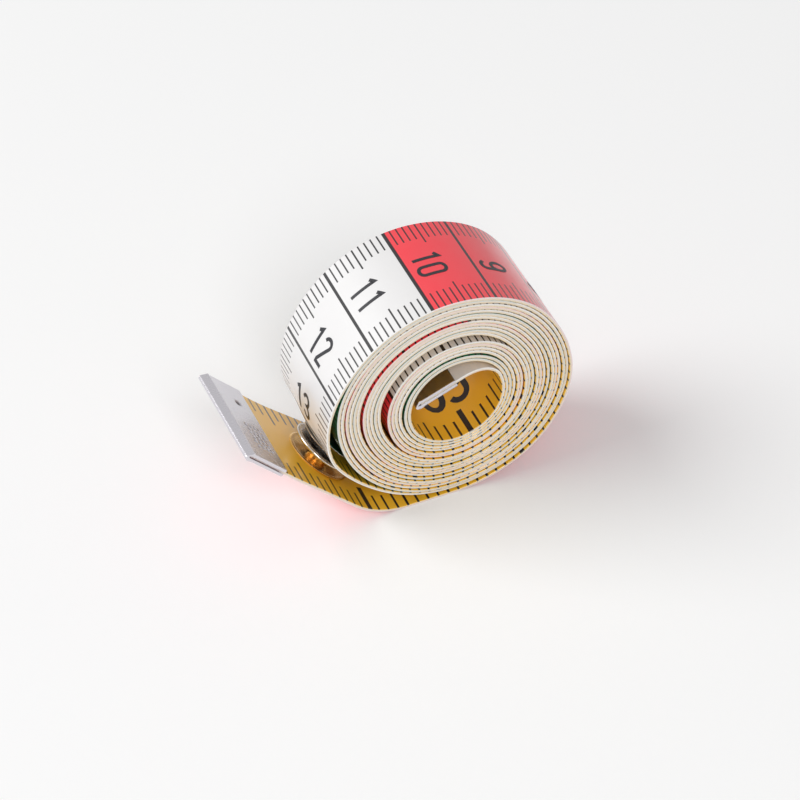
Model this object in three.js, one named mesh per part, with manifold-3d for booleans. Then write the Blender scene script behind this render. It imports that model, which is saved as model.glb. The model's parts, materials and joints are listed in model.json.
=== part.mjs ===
// Cloth tape measure, rolled up and standing on its rim, with its outer end lifted off the roll.
//
// Lengths are in millimetres and angles in degrees. +Y runs along the axis of the roll, +Z is up.
// The origin lies on the surface that the roll stands on, in the middle of the flat run of its outer turn.
// The roll is seen along +Y: the tape leaves it to the left, under the roll, and its other end is in the core.

import * as THREE from 'three';
import { mergeVertices } from 'three/addons/utils/BufferGeometryUtils.js';
import Module from 'manifold-3d';

// The tape
const tapeWidth = 17.6;
const tapeThick = 0.5;

// The roll. Its solid is thinner than the cloth, so that the turns keep clear of each other.
const woundThick = 0.15;
const turns = 18.3;
const rollRadius = 18.4;
const coreRadius = 7.0;
const rollCentreX = 0.25;
const coreShiftX = 0.6;
const coreShiftZ = -0.4;
const loopSteps = 32;

// How the outer turn leaves the even spiral: it lies flat on the floor, hangs a little slack all round,
// and stands off on the left, where the press stud keeps it straight.
const flatReach = 3.2;
const flatSlack = 0.3;
const flatFadeShare = 0.21;
const turnSlack = 0.3;
const bulgeHeight = 1.2;
const bulgeStart = 122;
const bulgePeak = 188;
const bulgeEnd = 224;

// The lifted end: three bends raise it from the floor, and a fourth lets the clip flex.
// It rests with the stud a little way out from its socket, and slightly below it.
const curlBend = 44.5 / 3;
const bendGap = 0.3;
const studRestOut = 3.03;
const studRestBelow = 0.397;
const studMargin = 0.9;
const openCloth = 5.45;
const tipBend = 3;

// The core end: it springs off the inner turn in a short arc, and two bends carry the inner clip
const flapArcRadius = 4;
const flapArcTurn = 40;
const flapBend = 27;
const flapStep = 3.6;
const flapMouth = 0.6;

// The end clips: sheet folded over the end of the tape
const outerClipLength = 8.8;
const innerClipLength = 8;
const clipSheet = 0.4;
const clipOverhang = 0.4;
const crimpGap = 0.06;
const foldGap = 0.3;
const dimpleRadius = 0.75;
const dimpleDepth = 0.2;
const dimpleFromNose = 6;
const dimpleOffAxis = 5.3;

// The press stud
const discRadius = 5;
const discThick = 0.25;
const studNeckRadius = 1.4;
const studHeadRadius = 1.65;
const studHeight = 1.24;
const studMouthRadius = 0.65;
const studNeckShare = 0.5;
const studHeadLowShare = 0.65;
const studHeadHighShare = 0.8;
const studMouthShare = 0.9;
const capRadius = 3.9;
const capThick = 0.3;
const rivetRadius = 0.75;
const rivetHeadRadius = 1.2;
const rivetHeadThick = 0.2;
const seatGap = 0.06;
const boreGap = 0.15;
const socketAngle = 212.2;
const socketTilt = 50;
const socketLift = 0.375;
const socketHeight = 1.5;
const socketInset = 0.25;
const socketNeckInset = 0.4;
const socketSheet = 0.25;
const socketBoreRadius = 2.3;
const socketFlat = 4;
const socketFade = 3.5;
const springWire = 0.18;
const springGapAngle = 34;
const cutOverrun = 0.3;

// How finely round things are divided
const roundSteps = 40;
const holeSteps = 20;
const wireSides = 8;
const wireSteps = 24;
const foldSteps = 8;
const arcSteps = 6;

const cloth = new THREE.MeshStandardMaterial({ color: 0xf4f2ee, roughness: 0.55, metalness: 0 });
const clothInside = new THREE.MeshStandardMaterial({ color: 0xe0a83a, roughness: 0.55, metalness: 0 });
const aluminium = new THREE.MeshStandardMaterial({ color: 0xd4d2da, roughness: 0.35, metalness: 0.9 });
const nickel = new THREE.MeshStandardMaterial({ color: 0xcfcdd0, roughness: 0.18, metalness: 1 });
const springSteel = new THREE.MeshStandardMaterial({ color: 0x9a9aa2, roughness: 0.3, metalness: 1 });

const part = new THREE.Group();
const rad = THREE.MathUtils.degToRad;
const smooth = THREE.MathUtils.smoothstep;

const wasm = await Module();
wasm.setup();

// Boolean cuts

function toSolid(geometry) {
  const bare = geometry.clone();
  bare.deleteAttribute('normal');
  bare.deleteAttribute('uv');
  const merged = mergeVertices(bare);
  return new wasm.Manifold(new wasm.Mesh({
    numProp: 3,
    vertProperties: new Float32Array(merged.attributes.position.array),
    triVerts: new Uint32Array(merged.index.array),
  }));
}

function toGeometry(solid) {
  const mesh = solid.getMesh();
  const geometry = new THREE.BufferGeometry();
  geometry.setAttribute('position', new THREE.BufferAttribute(new Float32Array(mesh.vertProperties), 3));
  geometry.setIndex(new THREE.BufferAttribute(new Uint32Array(mesh.triVerts), 1));
  geometry.computeVertexNormals();
  return geometry;
}

function cut(geometry, ...tools) {
  return toGeometry(tools.reduce((solid, tool) => solid.subtract(toSolid(tool)), toSolid(geometry)));
}

function add(parent, name, geometry, material) {
  const mesh = new THREE.Mesh(geometry, material);
  mesh.name = name;
  parent.add(mesh);
  return mesh;
}

// The roll's middle line, as points [x, z] in the plane of the roll's end

const firstRadius = rollRadius - woundThick / 2;
const lastRadius = coreRadius + woundThick / 2;
const pitch = (firstRadius - lastRadius) / turns;
const rollCentre = new THREE.Vector2(rollCentreX, rollRadius);
const coreCentre = rollCentre.clone().add(new THREE.Vector2(coreShiftX, coreShiftZ));

function angleAt(turn) {
  return 360 * turn - 90;
}

function evenRadius(turn) {
  return firstRadius - pitch * turn;
}

function centreAt(turn) {
  return rollCentre.clone().lerp(coreCentre, turn / turns);
}

// The seat of the press stud's socket, on the outer face of the outer turn
const socketTurn = (socketAngle + 90) / 360;
const socketSeat = rollCentre.clone().add(new THREE.Vector2(
  Math.cos(rad(socketAngle)),
  Math.sin(rad(socketAngle)),
).multiplyScalar(evenRadius(socketTurn) + woundThick / 2 + socketLift));
const socketAlong = new THREE.Vector2(-Math.cos(rad(socketTilt)), Math.sin(rad(socketTilt)));
const socketInward = new THREE.Vector2(Math.sin(rad(socketTilt)), Math.cos(rad(socketTilt)));

// The seat of the stud, on the inner face of the lifted end. It settles where the tape leaves the floor,
// and how far apart the three bends lie that carry the stud up to it.
const studSeat = socketSeat.clone()
  .addScaledVector(socketInward, -studRestOut)
  .addScaledVector(socketAlong, -studRestBelow);
const studReach = studMargin + discRadius;
const liftTurn = rad(3 * curlBend);
const curlRise = Math.sin(rad(curlBend)) + Math.sin(rad(2 * curlBend));
const curlRun = Math.cos(rad(curlBend)) + Math.cos(rad(2 * curlBend));
const hingeHeight = studSeat.y - (tapeThick / 2) * Math.cos(liftTurn) - studReach * Math.sin(liftTurn);
const curlStep = (hingeHeight - tapeThick / 2) / curlRise;
const hingeX = studSeat.x - (tapeThick / 2) * Math.sin(liftTurn) + studReach * Math.cos(liftTurn);
const liftX = hingeX + curlStep * curlRun;

// Pulls a point of the outer turn onto the straight line that the press stud holds
function straighten(point) {
  const seat = socketSeat.clone().addScaledVector(socketInward, woundThick / 2);
  const reach = point.clone().sub(seat).dot(socketAlong);
  const held = 1 - smooth(Math.abs(reach), socketFlat, socketFlat + socketFade);
  return point.clone().lerp(seat.addScaledVector(socketAlong, reach), held);
}

function rollPoint(turn) {
  const angle = angleAt(turn);
  let radius = evenRadius(turn);
  if (turn < 1) {
    const bulge = smooth(angle, bulgeStart, bulgePeak) * (1 - smooth(angle, bulgePeak, bulgeEnd));
    radius += turnSlack * Math.sin(Math.PI * turn) + bulgeHeight * bulge;
    radius += flatSlack * (1 - smooth(turn, 0, flatFadeShare));
  }
  const ray = new THREE.Vector2(Math.cos(rad(angle)), Math.sin(rad(angle)));
  const point = centreAt(turn).addScaledVector(ray, radius);
  if (turn > 1 / 2 && turn < 1) return straighten(point);
  if (turn < 1 / 2) point.y = Math.max(point.y, woundThick / 2);
  return point;
}

const middle = [];
const flatStart = liftX + bendGap / 2;
middle.push(new THREE.Vector2(flatStart, woundThick / 2));
middle.push(new THREE.Vector2(flatStart / 2, woundThick / 2));
middle.push(new THREE.Vector2(rollCentreX, woundThick / 2));
const flatTurn = Math.atan2(flatReach, rollRadius) / (2 * Math.PI);
middle.push(new THREE.Vector2(rollCentreX + flatReach, woundThick / 2));
const loopStations = Math.round((turns - flatTurn) * loopSteps);
for (let i = 1; i <= loopStations; i++) {
  middle.push(rollPoint(flatTurn + ((turns - flatTurn) * i) / loopStations));
}

// The core end leaves the spiral tangentially, in an arc that is tighter than the core
const flapStart = middle[middle.length - 1].clone();
const flapHeading = angleAt(turns) + 90;
const flapArcCentre = flapStart.clone().add(new THREE.Vector2(
  Math.cos(rad(flapHeading + 90)),
  Math.sin(rad(flapHeading + 90)),
).multiplyScalar(flapArcRadius));
function flapArcPoint(turned) {
  const angle = rad(flapHeading - 90 + turned);
  return flapArcCentre.clone().add(new THREE.Vector2(Math.cos(angle), Math.sin(angle)).multiplyScalar(flapArcRadius));
}
const flapArcEnd = flapArcTurn - THREE.MathUtils.radToDeg(bendGap / 2 / flapArcRadius);
for (let i = 1; i <= arcSteps; i++) middle.push(flapArcPoint((flapArcEnd * i) / arcSteps));

// A band of even thickness along the middle line, as wide as the tape. Its corners are mitred, up to a limit.
const leastMitreShare = 0.5;
function band(points, thick, width) {
  const corners = [];
  points.forEach((point, i) => {
    const back = points[Math.max(i - 1, 0)];
    const ahead = points[Math.min(i + 1, points.length - 1)];
    const before = point.clone().sub(back).normalize();
    const after = ahead.clone().sub(point).normalize();
    const along = before.clone().add(after).normalize();
    const mitre = Math.max(along.dot(i ? before : after), leastMitreShare);
    const side = new THREE.Vector2(along.y, -along.x).multiplyScalar(thick / 2 / mitre);
    for (const [across, face] of [[-1, 1], [1, 1], [1, -1], [-1, -1]]) {
      corners.push(point.x + face * side.x, (across * width) / 2, point.y + face * side.y);
    }
  });
  const faces = [0, 3, 2, 0, 2, 1];
  for (let i = 0; i < points.length - 1; i++) {
    for (let k = 0; k < 4; k++) {
      const a = 4 * i + k;
      const b = 4 * i + ((k + 1) % 4);
      faces.push(a, b, b + 4, a, b + 4, a + 4);
    }
  }
  const end = 4 * (points.length - 1);
  faces.push(end, end + 1, end + 2, end, end + 2, end + 3);
  const geometry = new THREE.BufferGeometry();
  geometry.setAttribute('position', new THREE.Float32BufferAttribute(corners, 3));
  geometry.setIndex(faces);
  geometry.computeVertexNormals();
  return geometry;
}

// The least clear distance between one turn and the next, measured from each point to each run of the line.
// Runs that lie nearer along the line than half of the smallest turn are the point's own neighbours.
function leastGap(points, thick) {
  const halfTurn = Math.PI * coreRadius;
  const lengths = [0];
  for (let i = 1; i < points.length; i++) lengths.push(lengths[i - 1] + points[i].distanceTo(points[i - 1]));
  let least = Infinity;
  points.forEach((point, i) => {
    for (let j = 1; j < points.length; j++) {
      const apart = Math.min(Math.abs(lengths[j] - lengths[i]), Math.abs(lengths[j - 1] - lengths[i]));
      if (apart < halfTurn) continue;
      const run = points[j].clone().sub(points[j - 1]);
      const share = THREE.MathUtils.clamp(point.clone().sub(points[j - 1]).dot(run) / run.lengthSq(), 0, 1);
      least = Math.min(least, point.distanceTo(points[j - 1].clone().addScaledVector(run, share)));
    }
  });
  return { gap: least - thick, length: lengths[lengths.length - 1] };
}

// A round piece: its outline as [radius, height], turned about +Z
function turned(outline, steps = roundSteps) {
  const points = outline.map(([radius, height]) => new THREE.Vector2(radius, height));
  const geometry = new THREE.LatheGeometry([...points, points[0].clone()], steps);
  return geometry.rotateX(Math.PI / 2);
}

function pin(radius, low, high, steps = roundSteps) {
  return new THREE.CylinderGeometry(radius, radius, high - low, steps)
    .rotateX(Math.PI / 2)
    .translate(0, 0, (low + high) / 2);
}

// A frame on a face of the tape: +Z stands out of the face, and the hinge it hangs on is at +X
function frame(parent, x, z, angle) {
  const group = new THREE.Group();
  group.position.set(x, 0, z);
  group.rotation.y = rad(angle);
  parent.add(group);
  return group;
}

function bareStrip(length, inset = 0) {
  const reach = length - bendGap / 2 - (inset || bendGap / 2);
  return new THREE.BoxGeometry(reach, tapeWidth, tapeThick).translate(-bendGap / 2 - reach / 2, 0, 0);
}

// The end clip: one sheet folded round the end of the tape, with its fold at the nose
function clipShape(run, length) {
  const cavity = tapeThick / 2 + crimpGap;
  const outer = cavity + clipSheet;
  const mouth = length - run;
  const fold = outer - run;
  const profile = new THREE.Shape();
  profile.moveTo(mouth, cavity);
  profile.lineTo(mouth, outer);
  profile.lineTo(fold, outer);
  profile.absarc(fold, 0, outer, Math.PI / 2, Math.PI * 1.5, false);
  profile.lineTo(mouth, -outer);
  profile.lineTo(mouth, -cavity);
  profile.lineTo(fold, -cavity);
  profile.absarc(fold, 0, cavity, Math.PI * 1.5, Math.PI / 2, true);
  const width = tapeWidth + 2 * clipOverhang;
  const geometry = new THREE.ExtrudeGeometry(profile, { depth: width, bevelEnabled: false, curveSegments: foldSteps })
    .rotateX(Math.PI / 2)
    .translate(0, width / 2, 0);
  const ball = (dimpleRadius ** 2 + dimpleDepth ** 2) / (2 * dimpleDepth);
  const dimple = new THREE.SphereGeometry(ball, roundSteps, roundSteps)
    .translate(dimpleFromNose - run, dimpleOffAxis, outer + ball - dimpleDepth);
  return cut(geometry, dimple);
}

function insideClip(run) {
  return bareStrip(run, clipSheet + foldGap);
}

// The tool that cuts a rivet's hole through tape whose face is at height 0
function rivetHole(thick) {
  return pin(rivetRadius + boreGap, -thick - cutOverrun, cutOverrun, holeSteps);
}

// The roll, with the hole for the socket's rivet

const woundBand = band(middle, woundThick, tapeWidth);
const socketFrame = frame(part, socketSeat.x, socketSeat.y, 180 + socketTilt);
socketFrame.updateMatrix();
add(part, 'wound_tape', cut(woundBand, rivetHole(woundThick).applyMatrix4(socketFrame.matrix)), cloth);

// The socket: a base plate, a drawn neck, a rolled rim and a top plate with the bore for the stud

const socketRadius = discRadius - socketInset;
const socketNeckRadius = socketRadius - socketNeckInset;
const socketBase = seatGap + socketSheet;
const socketShelf = socketHeight - socketSheet;
const socketShape = turned([
  [rivetRadius + boreGap, seatGap],
  [socketNeckRadius, seatGap],
  [socketNeckRadius, socketHeight / 2],
  [socketRadius, socketHeight / 2 + socketSheet / 2],
  [socketRadius, socketHeight - socketSheet / 2],
  [socketRadius - socketSheet / 2, socketHeight],
  [socketBoreRadius + socketSheet / 2, socketHeight],
  [socketBoreRadius, socketHeight - socketSheet / 2],
  [socketBoreRadius, socketShelf],
  [socketNeckRadius - socketSheet, socketShelf],
  [socketNeckRadius - socketSheet, socketBase],
  [rivetRadius + boreGap, socketBase],
]);
add(socketFrame, 'stud_socket', socketShape, nickel);

const springRadius = socketBoreRadius + springWire + boreGap;
class SpringPath extends THREE.Curve {
  getPoint(t, target = new THREE.Vector3()) {
    const angle = rad(springGapAngle / 2 + (360 - springGapAngle) * t);
    return target.set(springRadius * Math.cos(angle), springRadius * Math.sin(angle), 0);
  }
}
const wireSection = new THREE.Shape();
wireSection.absarc(0, 0, springWire, 0, 2 * Math.PI, false);
const springShape = new THREE.ExtrudeGeometry(wireSection, {
  extrudePath: new SpringPath(),
  steps: wireSteps,
  curveSegments: wireSides,
  bevelEnabled: false,
}).translate(0, 0, socketShelf - springWire - boreGap);
add(socketFrame, 'socket_spring', springShape, springSteel);

// A rivet: its cap lies on the far face of the tape, its post passes through and is peened over
function rivetShape(thick, headLow, headRadius) {
  const under = -thick - seatGap;
  return turned([
    [0, under - capThick],
    [capRadius - capThick, under - capThick],
    [capRadius, under - capThick / 2],
    [capRadius, under],
    [rivetRadius, under],
    [rivetRadius, headLow],
    [headRadius, headLow],
    [headRadius - rivetHeadThick / 2, headLow + rivetHeadThick],
    [0, headLow + rivetHeadThick],
  ]);
}
add(socketFrame, 'socket_rivet', rivetShape(woundThick, socketBase + seatGap, rivetHeadRadius), nickel);

// The lifted end of the tape

const bend1 = frame(part, liftX, tapeThick / 2, curlBend);
add(bend1, 'tail_tape_1', bareStrip(curlStep), clothInside);
const bend2 = frame(bend1, -curlStep, 0, curlBend);
add(bend2, 'tail_tape_2', bareStrip(curlStep), clothInside);

const studRun = studReach + discRadius + openCloth / 2;
const bend3 = frame(bend2, -curlStep, 0, curlBend);
const studHole = rivetHole(tapeThick).translate(-studReach, 0, tapeThick / 2);
add(bend3, 'tail_tape_3', cut(bareStrip(studRun), studHole), clothInside);

const studFrame = frame(bend3, -studReach, tapeThick / 2, 0);
const studTop = studHeight + discThick;
const studShape = turned([
  [rivetRadius + boreGap, seatGap],
  [discRadius, seatGap],
  [discRadius, seatGap + discThick],
  [studNeckRadius, seatGap + discThick],
  [studNeckRadius, studTop * studNeckShare],
  [studHeadRadius, studTop * studHeadLowShare],
  [studHeadRadius, studTop * studHeadHighShare],
  [studNeckRadius, studTop],
  [studMouthRadius, studTop],
  [studMouthRadius, studTop * studMouthShare],
  [rivetRadius + boreGap, studTop * studHeadHighShare],
]);
add(studFrame, 'stud', studShape, nickel);
add(studFrame, 'stud_rivet', rivetShape(tapeThick, studTop * studNeckShare, rivetRadius), nickel);

const tipRun = openCloth / 2 + outerClipLength;
const bend4 = frame(bend3, -studRun, 0, tipBend);
add(bend4, 'tail_tape_4', insideClip(tipRun), clothInside);
add(bend4, 'outer_end_clip', clipShape(tipRun, outerClipLength), aluminium);

// The core end

const flapHinge = flapArcPoint(flapArcTurn);
const flap1 = frame(part, flapHinge.x, flapHinge.y, 180 - (flapHeading + flapArcTurn + flapBend));
add(flap1, 'core_tape_1', bareStrip(flapStep), clothInside);
const flap2 = frame(flap1, -flapStep, 0, -flapBend);
const flapRun = flapMouth + innerClipLength;
add(flap2, 'core_tape_2', insideClip(flapRun), clothInside);
add(flap2, 'inner_end_clip', clipShape(flapRun, innerClipLength), aluminium);

const measured = leastGap(middle, woundThick);
const clothLength = measured.length + 2 * curlStep + studRun + tipRun + flapStep + flapRun;
console.log(`least gap between turns ${measured.gap.toFixed(3)} mm, tape from nose to nose ${clothLength.toFixed(1)} mm`);

export default part;
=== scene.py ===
# %% [markdown]
# A tailor's tape measure is one long band of coated cloth with a scale on each face, rolled on itself.
# Metal clips finish its two ends, and a press stud holds the roll shut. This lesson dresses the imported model:
# the bodies and their joints come from the frame, and every surface that is seen is made here.
# All sizes are written in millimetres and multiplied by MM, because Blender works in metres.

# %% The frame
import json
import math

import bmesh
import bpy
import numpy as np
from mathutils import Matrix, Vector


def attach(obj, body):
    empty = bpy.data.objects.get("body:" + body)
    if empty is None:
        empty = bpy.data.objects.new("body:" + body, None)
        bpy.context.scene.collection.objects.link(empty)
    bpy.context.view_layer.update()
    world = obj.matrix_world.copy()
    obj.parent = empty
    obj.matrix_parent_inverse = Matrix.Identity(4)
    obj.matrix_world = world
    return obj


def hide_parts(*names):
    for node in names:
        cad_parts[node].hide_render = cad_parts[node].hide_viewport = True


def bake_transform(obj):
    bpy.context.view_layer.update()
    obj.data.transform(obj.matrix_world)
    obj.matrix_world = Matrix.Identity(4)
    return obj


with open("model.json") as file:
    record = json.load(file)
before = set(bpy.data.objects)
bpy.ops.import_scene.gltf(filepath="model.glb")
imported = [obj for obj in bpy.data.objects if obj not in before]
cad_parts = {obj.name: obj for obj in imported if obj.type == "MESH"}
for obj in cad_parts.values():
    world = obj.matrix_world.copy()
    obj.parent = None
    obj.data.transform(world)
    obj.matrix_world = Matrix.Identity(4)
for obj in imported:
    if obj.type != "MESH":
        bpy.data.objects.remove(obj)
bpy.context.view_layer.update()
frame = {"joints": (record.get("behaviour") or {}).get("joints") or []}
MM = 0.001

# %% [markdown]
# The scale has to follow the band exactly, and the gaps between the turns are what makes a rolled tape look
# rolled. So the band's middle line is worked out first, as points in the plane of the roll's end, and every
# cloth piece and printed figure is laid on it. The outer turn's radius is given at some thirty angles,
# counted from the right: the roll sags on the table, and on the left the press stud pulls it straight.

# %% The outer turn
TAPE_WIDTH = 17.6
TAPE_THICK = 0.5
ROLL = np.array([0.25, 18.4])
TURNS = 18.3

OUTER_RADII = [
    (-90, 18.40), (-75, 18.43), (-60, 18.55), (-45, 18.66), (-28, 18.66), (-10, 18.68), (0, 18.60),
    (12, 18.40), (24, 18.27), (36, 18.27), (50, 18.37), (69, 18.44), (85, 18.50),
    (100, 18.58), (115, 18.59), (131, 18.56), (146, 18.59), (155, 18.70), (163, 18.87),
    (172, 19.05), (181, 19.18), (190, 19.20), (196, 19.10), (200, 18.91), (204, 18.67),
    (209, 18.37), (214, 18.12), (220, 17.89), (226, 17.72), (232, 17.64), (240, 17.60),
    (250, 17.59), (260, 17.59), (270, 17.60),
]


def smooth_curve(keys, at):
    """Reads a curve that runs smoothly through the keys, given as (position, value)."""
    x, y = np.array(keys, float).T
    slope = np.gradient(y, x)
    i = np.clip(np.searchsorted(x, at) - 1, 0, len(x) - 2)
    step = x[i + 1] - x[i]
    u = (np.asarray(at) - x[i]) / step
    rise = y[i] * (1 + 2 * u) * (1 - u) ** 2 + y[i + 1] * u**2 * (3 - 2 * u)
    return rise + step * u * (1 - u) * (slope[i] * (1 - u) - slope[i + 1] * u)


def ease(x, low, high):
    """Goes from 0 at low to 1 at high, without a corner."""
    u = np.clip((x - low) / (high - low), 0, 1)
    return u * u * (3 - 2 * u)


PER_TURN = 360
turn = np.arange(round(TURNS * PER_TURN) + 1) / PER_TURN
angle = np.radians(360 * turn - 90)
first = turn < 1
outer_radius = np.zeros_like(turn)
outer_radius[first] = smooth_curve(OUTER_RADII, 360 * turn[first] - 90)
print("outer turn from", outer_radius[first].min(), "to", outer_radius[first].max(), "mm")

# %% [markdown]
# Each later turn lies inside the one before it, a cloth thickness and a small gap further in. A hand-rolled
# tape has a few wide gaps, where it slipped, and between them the turns touch. The wide ones are listed here
# as (turn, where it opens, where it is open, where it narrows, where it closes, width), all counted in turns.
# The widest is the one under the outer turn, where the press stud pulls it off. There the second turn has
# radii of its own. What is left over up to the hole in the middle is shared out evenly. Each turn has to
# start where the one before it ends, so the gap at that place is worked out first.

# %% The wound turns
WIDE_GAPS = [
    (3, 0.60, 0.70, 0.82, 0.90, 0.14),
    (7, 0.38, 0.55, 0.70, 0.88, 0.36),
    (12, 0.34, 0.50, 0.66, 0.90, 1.28),
    (16, 0.30, 0.46, 0.70, 0.88, 0.40),
] + [(k, -0.15, 0.0, 0.19, 0.36, 0.16) for k in (3, 6, 7, 10, 13, 15)]
SECOND_TURN = [
    (130, 18.00), (152, 17.95), (164, 17.86), (175, 17.62), (186, 17.32), (198, 17.04), (211, 16.86),
    (224, 16.82), (236, 16.88), (250, 17.00), (270, 17.06),
]
HOLE_RADIUS = 7.0
HOLE = np.array([0.85, 18.0])


def wide_gap(t):
    """The width of the listed gaps outside the tape at that turn."""
    total = np.zeros_like(t)
    for k, opens, is_open, narrows, closes, width in WIDE_GAPS:
        total += width * ease(t - k, opens, is_open) * (1 - ease(t - k, narrows, closes))
    return total


share = np.arange(PER_TURN) / PER_TURN
around = np.radians(360 * share - 90)
ray = np.stack([np.cos(around), np.sin(around)], 1)
across_hole = (ray * (HOLE - ROLL)).sum(1)
hole = across_hole + np.sqrt(HOLE_RADIUS**2 - ((HOLE - ROLL) ** 2).sum() + across_hole**2)
LAYERS = int(TURNS)
wide_below = wide_gap(np.arange(2.0, LAYERS + 1)[:, None]).sum()
tight_gap = (OUTER_RADII[-1][1] - hole[0] - LAYERS * TAPE_THICK - wide_below) / (LAYERS - 1)
last_step = (TAPE_THICK + tight_gap) * (1 - ease(share, TURNS % 1, 0.75))
first_gap = outer_radius[0] - OUTER_RADII[-1][1] - TAPE_THICK
first_step = (first_gap - tight_gap) * (1 - ease(share, 0, TURNS % 1))
spare = outer_radius[:PER_TURN] - hole - last_step - LAYERS * TAPE_THICK
degrees = 360 * share - 90
own_radius = ease(degrees, 130, 156) * (1 - ease(degrees, 244, 268))
own_gap = own_radius * (outer_radius[:PER_TURN] - TAPE_THICK - smooth_curve(SECOND_TURN, degrees))
listed = own_gap + sum(wide_gap(share + k) for k in range(1, LAYERS))
even_gap = np.maximum(spare - listed - first_step, 0) / (LAYERS - 1 - own_radius)
gap = wide_gap(turn) + even_gap[np.arange(len(turn)) % PER_TURN]
second = slice(PER_TURN, 2 * PER_TURN)
gap[second] = own_gap + (1 - own_radius) * gap[second] + first_step
for i in range(PER_TURN, len(turn)):
    outer_radius[i] = outer_radius[i - PER_TURN] - TAPE_THICK - gap[i]
middle_radius = outer_radius - TAPE_THICK / 2
coil = ROLL + middle_radius[:, None] * np.stack([np.cos(angle), np.sin(angle)], 1)
print("least gap", round(gap[PER_TURN:].min(), 3), "mm, left over at the hole", round(spare.min(), 2), "mm")

# %% [markdown]
# The outer end leaves the table in a soft bend and runs straight up to its clip. In the core, the last piece
# of tape springs off the wall in a short hump and carries the other clip. Both follow the hinges of the
# frame.

# %% The two ends
CLOTH_INSIDE_CLIP = 0.7
hinge = {j["name"]: np.array(j["pos_m"])[[0, 2]] / MM for j in frame["joints"]}


def way(degrees):
    return np.array([math.cos(math.radians(degrees)), math.sin(math.radians(degrees))])


def bend_between(corner, before, after, radius, steps=14):
    """Points of an arc that rounds the corner between two directions, in degrees."""
    turned = (after - before + 180) % 360 - 180
    reach = radius * math.tan(math.radians(abs(turned)) / 2)
    side = 90 if turned > 0 else -90
    start = corner - reach * way(before)
    centre = start + radius * way(before + side)
    return [centre - radius * way(before + side + turned * i / steps) for i in range(steps + 1)]


LIFT = 135.5
TIP = 132.5
OUTER_END = 11.525
outer_nose = hinge["tip_flex"] + OUTER_END * way(TIP)
lift_foot = hinge["tail_bend_3"] + (TAPE_THICK / 2 - hinge["tail_bend_3"][1]) / way(LIFT)[1] * way(LIFT)
tail = [outer_nose + CLOTH_INSIDE_CLIP * way(TIP - 180)]
tail += bend_between(hinge["tip_flex"], TIP - 180, LIFT - 180, 70)
tail += bend_between(lift_foot, LIFT - 180, 0, 11, 30)

CORE_CLIP = 202
INNER_END = 8.3
flap_keys = [(7.42, 21.0), (6.75, 21.92), (5.62, 22.68), (4.3, 22.96), (3.2, 22.87)]
flap = [np.array(p) for p in flap_keys]
flap += [hinge["core_bend_2"] + u * way(CORE_CLIP) for u in (0, 0.6, 3, INNER_END - CLOTH_INSIDE_CLIP)]
print("tail foot", lift_foot.round(2), "outer nose", outer_nose.round(2))

# %% [markdown]
# A line through points is smoothed by a spline that passes through all of them, and the flap's line takes
# the place of the coil's last few points. Then the whole band is measured from the outer end, once, and
# everything else asks for a place by its length along the band.

# %% The whole band
POINTS_PER_MM = 4
SPLICED = 6


def lengths_along(points):
    return np.concatenate([[0], np.cumsum(np.linalg.norm(np.diff(points, axis=0), axis=1))])


def through(points):
    """A dense line that passes smoothly through the points."""
    points = np.array(points)
    length = lengths_along(points)
    fine = np.linspace(0, length[-1], int(length[-1] * POINTS_PER_MM) + 2)
    return np.stack([smooth_curve(np.stack([length, points[:, c]], 1), fine) for c in (0, 1)], 1)


flat = np.linspace([tail[-1][0] + 0.2, TAPE_THICK / 2], [ROLL[0] - 0.2, TAPE_THICK / 2], 24)
flap_line = through([coil[-SPLICED], coil[-3], coil[-1]] + flap)
band = np.concatenate([tail, flat, coil[:-SPLICED], flap_line])
run = lengths_along(band) + CLOTH_INSIDE_CLIP
coil_turns = turn[:-SPLICED]
coil_run = run[len(tail) + len(flat):][:len(coil_turns)]


def length_at(turns):
    return np.interp(turns, coil_turns, coil_run)


heading = np.gradient(band, axis=0)
heading /= np.linalg.norm(heading, axis=1)[:, None]


def place(length):
    """The middle of the band at that length, and the way its centimetre side faces."""
    spot = np.stack([np.interp(length, run, band[:, c]) for c in (0, 1)], -1)
    ahead = np.stack([np.interp(length, run, heading[:, c]) for c in (0, 1)], -1)
    ahead /= np.linalg.norm(ahead, axis=-1)[..., None]
    return spot, np.stack([ahead[..., 1], -ahead[..., 0]], -1)


BAND_END = run[-1]
print("band from end to end", round(BAND_END, 1), "mm, coil starts at", round(length_at(0), 2))

# %% [markdown]
# The printed scale is read off the photograph at a few places, such as the 10 cm line on top of the roll and
# the 59 inch bar in the core. Between them it follows the band, which is stretched by 5% at most, near 9 cm.

# %% The printed scale
SCALE_MARKS = [
    (0.0, 38.6), (0.4455, 90), (0.4868, 95), (0.5279, 100), (0.6135, 110), (0.6988, 120),
    (0.7322, 124), (7.475, 800), (12.684, 1200), (18.064, 1498.6),
]
mark_length = [0.0] + [float(length_at(t)) for t, _ in SCALE_MARKS] + [BAND_END + CLOTH_INSIDE_CLIP]
mark_scale = [0.0] + [s for _, s in SCALE_MARKS] + [1524.0]
for (t, s), length in zip(SCALE_MARKS, mark_length[1:]):
    print("turn", t, "scale", s, "band", round(length, 1))


def scale_at(length):
    return np.interp(length, mark_length, mark_scale)


def length_of(scale):
    return np.interp(scale, mark_scale, mark_length)


# %% [markdown]
# The turns of a rolled tape never end in one plane, which gives the end of the roll its fine steps and
# shadows. Sway moves the band sideways as it goes round: the turns that show a yellow line in the photograph
# stand out at the lower right, and so do the lower half of the outer turn and the lifted end.

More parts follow.
